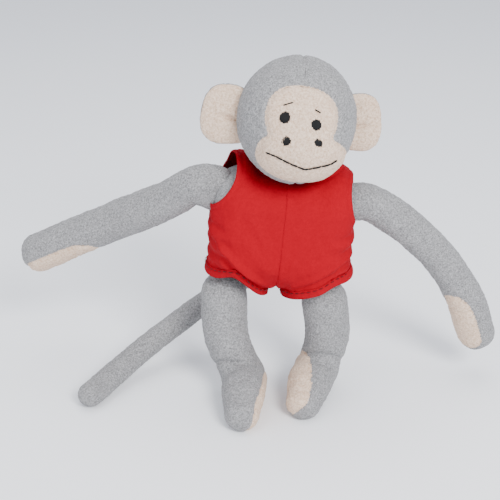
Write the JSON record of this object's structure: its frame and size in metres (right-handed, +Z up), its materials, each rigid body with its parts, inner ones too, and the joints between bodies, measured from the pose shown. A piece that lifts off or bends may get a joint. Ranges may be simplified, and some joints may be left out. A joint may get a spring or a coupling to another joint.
{
  "type": "stuffed monkey",
  "caption": "Small grey plush monkey with a cream face, ears, palms and soles, long bending limbs and tail, in a red cotton romper, standing.",
  "frame": {"origin": "on the floor under the middle of the standing toy's own box", "axes": "+Z up; +X along the spread arms, towards the toy's own left; the toy faces -Y"},
  "size_m": [0.3046, 0.1068, 0.2144],
  "materials": {
    "grey_plush": "short grey pile with light and dark flecks",
    "cream_plush": "short warm cream pile",
    "red_cotton": "plain-weave red cotton",
    "stuffing": "white polyester fill",
    "black_floss": "stranded black embroidery floss",
    "hem_thread": "dark red sewing thread",
    "grey_thread": "grey sewing thread"
  },
  "bodies": {
    "torso": {"torso_front_panel": "grey_plush", "torso_back_panel": "grey_plush", "torso_stuffing": "stuffing", "right_romper_half": "red_cotton", "right_romper_strap": "red_cotton", "left_romper_half": "red_cotton", "left_romper_strap": "red_cotton"},
    "neck": {"neck_gusset": "grey_plush"},
    "neck_seam": {"neck_seam_thread": "grey_thread"},
    "head": {"face_panel": "cream_plush", "right_crown_panel": "grey_plush", "left_crown_panel": "grey_plush", "head_stuffing": "stuffing", "right_eye": "black_floss", "left_eye": "black_floss", "nostrils": "black_floss", "eyebrow_stitches": "black_floss", "mouth_stitches": "black_floss"},
    "right_ear": {"right_ear_front": "cream_plush", "right_ear_back": "grey_plush", "right_ear_padding": "stuffing"},
    "left_ear": {"left_ear_front": "cream_plush", "left_ear_back": "grey_plush", "left_ear_padding": "stuffing"},
    "right_shoulder": {"right_shoulder_seam_thread": "grey_thread", "right_shoulder_stuffing": "stuffing"},
    "right_upper_arm": {"right_upper_arm_skin": "grey_plush", "right_upper_arm_stuffing": "stuffing"},
    "right_forearm": {"right_forearm_skin": "grey_plush", "right_palm_patch": "cream_plush", "right_forearm_stuffing": "stuffing"},
    "left_shoulder": {"left_shoulder_seam_thread": "grey_thread", "left_shoulder_stuffing": "stuffing"},
    "left_upper_arm": {"left_upper_arm_skin": "grey_plush", "left_upper_arm_stuffing": "stuffing"},
    "left_forearm": {"left_forearm_skin": "grey_plush", "left_palm_patch": "cream_plush", "left_forearm_stuffing": "stuffing"},
    "right_hip": {"right_romper_hem": "red_cotton", "right_hem_stitches": "hem_thread", "right_hip_stuffing": "stuffing"},
    "right_leg": {"right_leg_skin": "grey_plush", "right_leg_stuffing": "stuffing"},
    "right_foot": {"right_foot_skin": "grey_plush", "right_sole": "cream_plush", "right_foot_stuffing": "stuffing"},
    "left_hip": {"left_romper_hem": "red_cotton", "left_hem_stitches": "hem_thread", "left_hip_stuffing": "stuffing"},
    "left_leg": {"left_leg_skin": "grey_plush", "left_leg_stuffing": "stuffing"},
    "left_foot": {"left_foot_skin": "grey_plush", "left_sole": "cream_plush", "left_foot_stuffing": "stuffing"},
    "tail_root": {"tail_root_stuffing": "stuffing"},
    "tail_base": {"tail_base_skin": "grey_plush", "tail_base_stuffing": "stuffing"},
    "tail_tip": {"tail_tip_skin": "grey_plush", "tail_tip_stuffing": "stuffing"}
  },
  "joints": [
    {"name": "neck_turn", "type": "hinge", "parent": "torso", "child": "neck", "pos_m": [0.02355, 0.00319, 0.14317], "axis": [0.0872, 0, 0.9962], "range_deg": [-50, 50]},
    {"name": "neck_tilt", "type": "hinge", "parent": "neck", "child": "neck_seam", "pos_m": [0.02355, 0.00319, 0.14317], "axis": [0, 1, 0], "range_deg": [-15, 15], "deforming": ["neck_seam_thread"]},
    {"name": "neck_nod", "type": "hinge", "parent": "neck_seam", "child": "head", "pos_m": [0.02355, 0.00319, 0.14317], "axis": [0.9974, 0.0174, -0.0698], "range_deg": [-15, 18]},
    {"name": "right_ear_fold", "type": "hinge", "parent": "head", "child": "right_ear", "pos_m": [-0.01281, 0.00234, 0.17931], "axis": [-0.0657, -0.1748, -0.9824], "range_deg": [-35, 35], "deforming": ["right_ear_front", "right_ear_back"]},
    {"name": "left_ear_fold", "type": "hinge", "parent": "head", "child": "left_ear", "pos_m": [0.05402, 0.0035, 0.17464], "axis": [0.0657, 0.1748, 0.9824], "range_deg": [-35, 35], "deforming": ["left_ear_front", "left_ear_back"]},
    {"name": "right_shoulder_raise", "type": "hinge", "parent": "torso", "child": "right_shoulder", "pos_m": [-0.03564, 0.00519, 0.13445], "axis": [0.4384, 0.8988, 0], "range_deg": [-10, 60], "deforming": ["right_shoulder_seam_thread"]},
    {"name": "right_shoulder_swing", "type": "hinge", "parent": "right_shoulder", "child": "right_upper_arm", "pos_m": [-0.03564, 0.00519, 0.13445], "axis": [-0.422, 0.2058, 0.8829], "range_deg": [-40, 40], "deforming": ["right_upper_arm_skin"]},
    {"name": "right_elbow_bend", "type": "hinge", "parent": "right_upper_arm", "child": "right_forearm", "pos_m": [-0.07562, 0.02315, 0.11128], "axis": [0.3518, 0.9361, 0], "range_deg": [-60, 60], "deforming": ["right_forearm_skin", "right_palm_patch"]},
    {"name": "left_shoulder_raise", "type": "hinge", "parent": "torso", "child": "left_shoulder", "pos_m": [0.06439, 0.00519, 0.1257], "axis": [0.1045, -0.9945, 0], "range_deg": [-10, 60], "deforming": ["left_shoulder_seam_thread"]},
    {"name": "left_shoulder_swing", "type": "hinge", "parent": "left_shoulder", "child": "left_upper_arm", "pos_m": [0.06439, 0.00519, 0.1257], "axis": [0.5417, 0.0569, 0.8387], "range_deg": [-40, 40], "deforming": ["left_upper_arm_skin"]},
    {"name": "left_elbow_bend", "type": "hinge", "parent": "left_upper_arm", "child": "left_forearm", "pos_m": [0.10333, 0.00993, 0.09559], "axis": [0.155, -0.9879, 0], "range_deg": [-60, 60], "deforming": ["left_forearm_skin", "left_palm_patch"]},
    {"name": "right_hip_flex", "type": "hinge", "parent": "torso", "child": "right_hip", "pos_m": [-0.02407, 0.00519, 0.06553], "axis": [-1, 0, 0], "range_deg": [-25, 55], "deforming": ["right_romper_hem", "right_hem_stitches"]},
    {"name": "right_hip_splay", "type": "hinge", "parent": "right_hip", "child": "right_leg", "pos_m": [-0.02407, 0.00519, 0.06553], "axis": [0, 1, 0], "range_deg": [-4, 35], "deforming": ["right_leg_skin"]},
    {"name": "right_ankle_bend", "type": "hinge", "parent": "right_leg", "child": "right_foot", "pos_m": [-0.00855, -0.00681, 0.012], "axis": [-0.9994, 0.0349, 0], "range_deg": [-35, 20], "deforming": ["right_foot_skin", "right_sole"]},
    {"name": "left_hip_flex", "type": "hinge", "parent": "torso", "child": "left_hip", "pos_m": [0.04104, 0.00519, 0.05983], "axis": [-1, 0, 0], "range_deg": [-25, 55], "deforming": ["left_romper_hem", "left_hem_stitches"]},
    {"name": "left_hip_splay", "type": "hinge", "parent": "left_hip", "child": "left_leg", "pos_m": [0.04104, 0.00519, 0.05983], "axis": [0, -1, 0], "range_deg": [-4, 35], "deforming": ["left_leg_skin"]},
    {"name": "left_ankle_bend", "type": "hinge", "parent": "left_leg", "child": "left_foot", "pos_m": [0.03695, 0.00369, 0.012], "axis": [-0.9613, 0.2756, 0], "range_deg": [-35, 20], "deforming": ["left_foot_skin", "left_sole"]},
    {"name": "tail_root_lift", "type": "hinge", "parent": "torso", "child": "tail_root", "pos_m": [0.00561, 0.03638, 0.07576], "axis": [0.2079, 0.9781, 0], "range_deg": [-20, 35]},
    {"name": "tail_root_swing", "type": "hinge", "parent": "tail_root", "child": "tail_base", "pos_m": [0.00561, 0.03638, 0.07576], "axis": [0, 0, 1], "range_deg": [-30, 30], "deforming": ["tail_base_skin"]},
    {"name": "tail_bend", "type": "hinge", "parent": "tail_base", "child": "tail_tip", "pos_m": [-0.05343, 0.03597, 0.02732], "axis": [0, 0, 1], "range_deg": [-60, 60], "deforming": ["tail_tip_skin"]}
  ]
}
